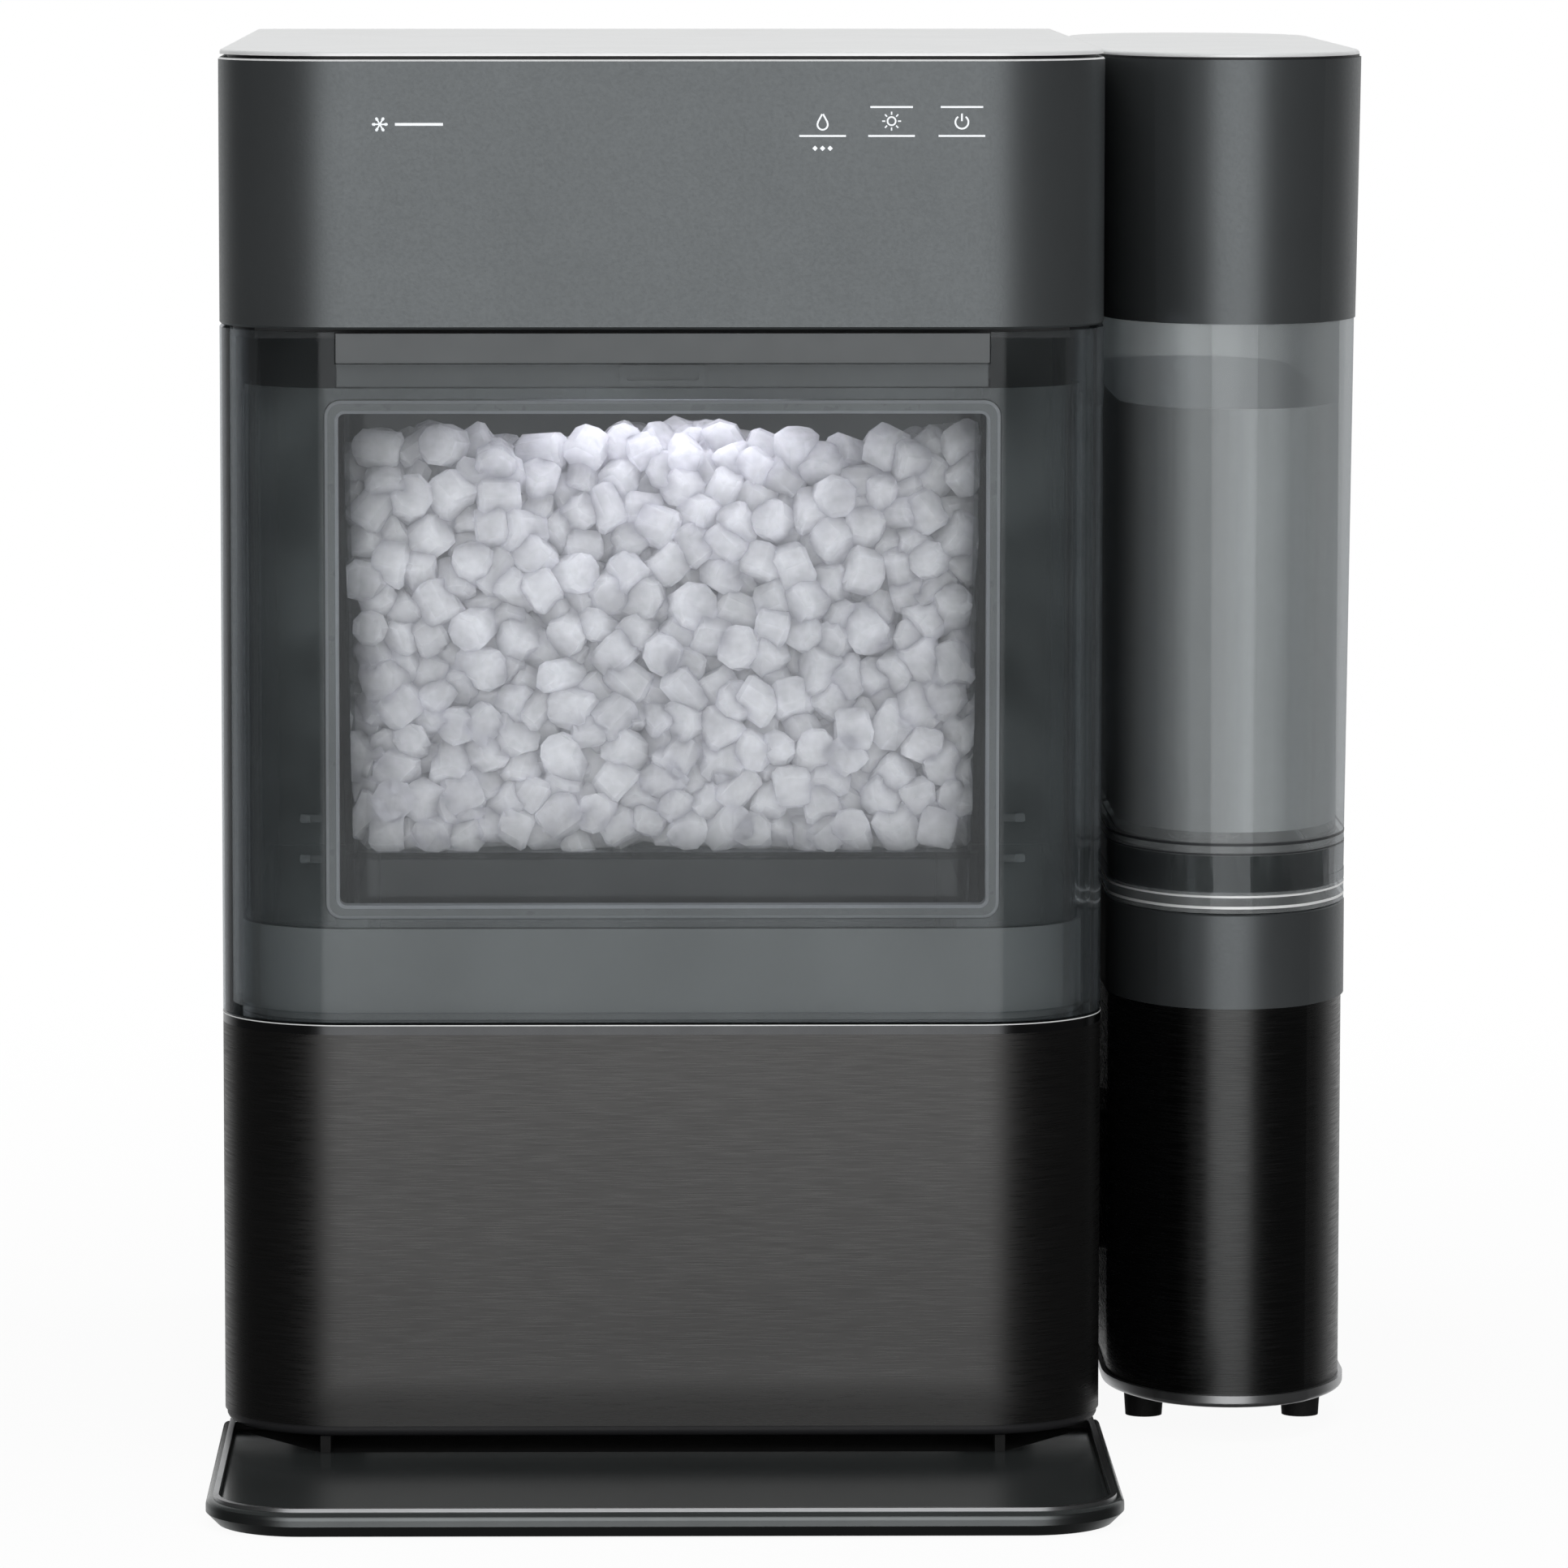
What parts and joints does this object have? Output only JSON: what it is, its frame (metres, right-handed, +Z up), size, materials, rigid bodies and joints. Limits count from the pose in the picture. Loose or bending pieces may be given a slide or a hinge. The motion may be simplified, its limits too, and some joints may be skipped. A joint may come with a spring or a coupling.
{
  "type": "nugget ice maker with side tank",
  "caption": "Countertop ice maker with a pull-out smoked ice bin, a drip tray, a control head and a lift-off water tank docked at its side.",
  "frame": {"origin": "bottom centre of the bounding box, on the counter", "axes": "+Z up, the front with the bin faces -Y, the tank stands at +X"},
  "size_m": [0.3438, 0.4505, 0.419],
  "materials": {
    "housing_grey": "fine satin paint",
    "brushed_steel": "dark stainless, brushed across",
    "trim_satin": "satin",
    "cover_pale": "fine satin",
    "side_skin": "satin paint",
    "galvanised": "plain sheet",
    "black_plastic": "fine grain",
    "gloss_black": "polished",
    "smoked_clear": "smoked, clear",
    "clear_plastic": "clear",
    "gasket_grey": "satin",
    "inner_grey": "moulded",
    "rubber_black": "matte",
    "steel_bright": "turned",
    "copper_line": "drawn tube",
    "compressor_black": "gloss paint",
    "foam_grey": "insulation",
    "board_green": "circuit board",
    "lamp_white": "diffuser",
    "pump_white": "moulded"
  },
  "bodies": {
    "base": {"base_pan": "black_plastic", "body_feet": "rubber_black", "lower_front_panel": "brushed_steel", "trim_band": "trim_satin", "side_panel_left": "side_skin", "side_panel_right": "side_skin", "rear_cover": "side_skin", "cover_screws": "steel_bright", "service_recess": "black_plastic", "drain_caps": "rubber_black", "mains_gland": "black_plastic", "control_housing": "housing_grey", "top_cover": "cover_pale", "bin_bay": "inner_grey", "bay_ceiling": "black_plastic", "bay_lamp": "lamp_white", "chassis": "galvanised", "gear_motor": "galvanised", "evaporator_barrel": "foam_grey", "extruder_head": "pump_white", "ice_chute": "pump_white", "compressor": "compressor_black", "condenser": "galvanised", "fan_shroud": "black_plastic", "fan_motor": "black_plastic", "water_pump": "pump_white", "inner_reservoir": "pump_white", "reservoir_lid": "pump_white", "supply_hose": "clear_plastic", "barrel_feed": "clear_plastic", "suction_line": "copper_line", "discharge_line": "copper_line", "power_board": "board_green", "control_board": "board_green", "touch_sensor": "board_green", "drain_valve": "pump_white", "tank_bottom_rim": "trim_satin", "tank_sleeve": "brushed_steel", "tank_collar": "black_plastic", "tank_feet": "rubber_black", "docking_seat": "black_plastic", "dock_bracket": "black_plastic", "water_coupler": "black_plastic"},
    "ice_bin": {"bin_front": "smoked_clear", "bin_grab_bar": "black_plastic", "bin_inner_skin": "smoked_clear", "window_gasket": "gasket_grey", "melt_pan": "inner_grey", "ice_bucket": "clear_plastic"},
    "tray": {"drip_tray": "gloss_black", "tray_trim": "trim_satin"},
    "water_tank": {"tank_shell": "clear_plastic", "tank_head": "housing_grey", "valve_cage": "clear_plastic"},
    "lid": {"tank_lid": "cover_pale"},
    "valve": {"tank_valve": "black_plastic"},
    "screw_auger": {"auger": "steel_bright"},
    "fan": {"fan_rotor": "black_plastic"},
    "float": {"level_float": "foam_grey"}
  },
  "joints": [
    {"name": "bin_slide", "type": "slide", "parent": "base", "child": "ice_bin", "axis": [0, -1, 0], "range_m": [0, 0.22]},
    {"name": "tray_slide", "type": "slide", "parent": "base", "child": "tray", "axis": [0, -1, 0], "range_m": [0, 0.16]},
    {"name": "tank_lift", "type": "slide", "parent": "base", "child": "water_tank", "axis": [0, 0, 1], "range_m": [0, 0.15]},
    {"name": "lid_lift", "type": "slide", "parent": "water_tank", "child": "lid", "axis": [0, 0, 1], "range_m": [0, 0.06]},
    {"name": "valve_travel", "type": "slide", "parent": "water_tank", "child": "valve", "axis": [0, 0, 1], "range_m": [0, 0.003], "stiffness_N_per_m": 150},
    {"name": "auger_spin", "type": "hinge", "parent": "base", "child": "screw_auger", "pos_m": [-0.0399, 0.17475, 0.14], "axis": [0, 0, 1], "continuous": true},
    {"name": "fan_spin", "type": "hinge", "parent": "base", "child": "fan", "pos_m": [-0.1126, 0.03327, 0.0595], "axis": [1, 0, 0], "continuous": true},
    {"name": "float_travel", "type": "slide", "parent": "base", "child": "float", "axis": [0, 0, 1], "range_m": [0, 0.045]}
  ]
}
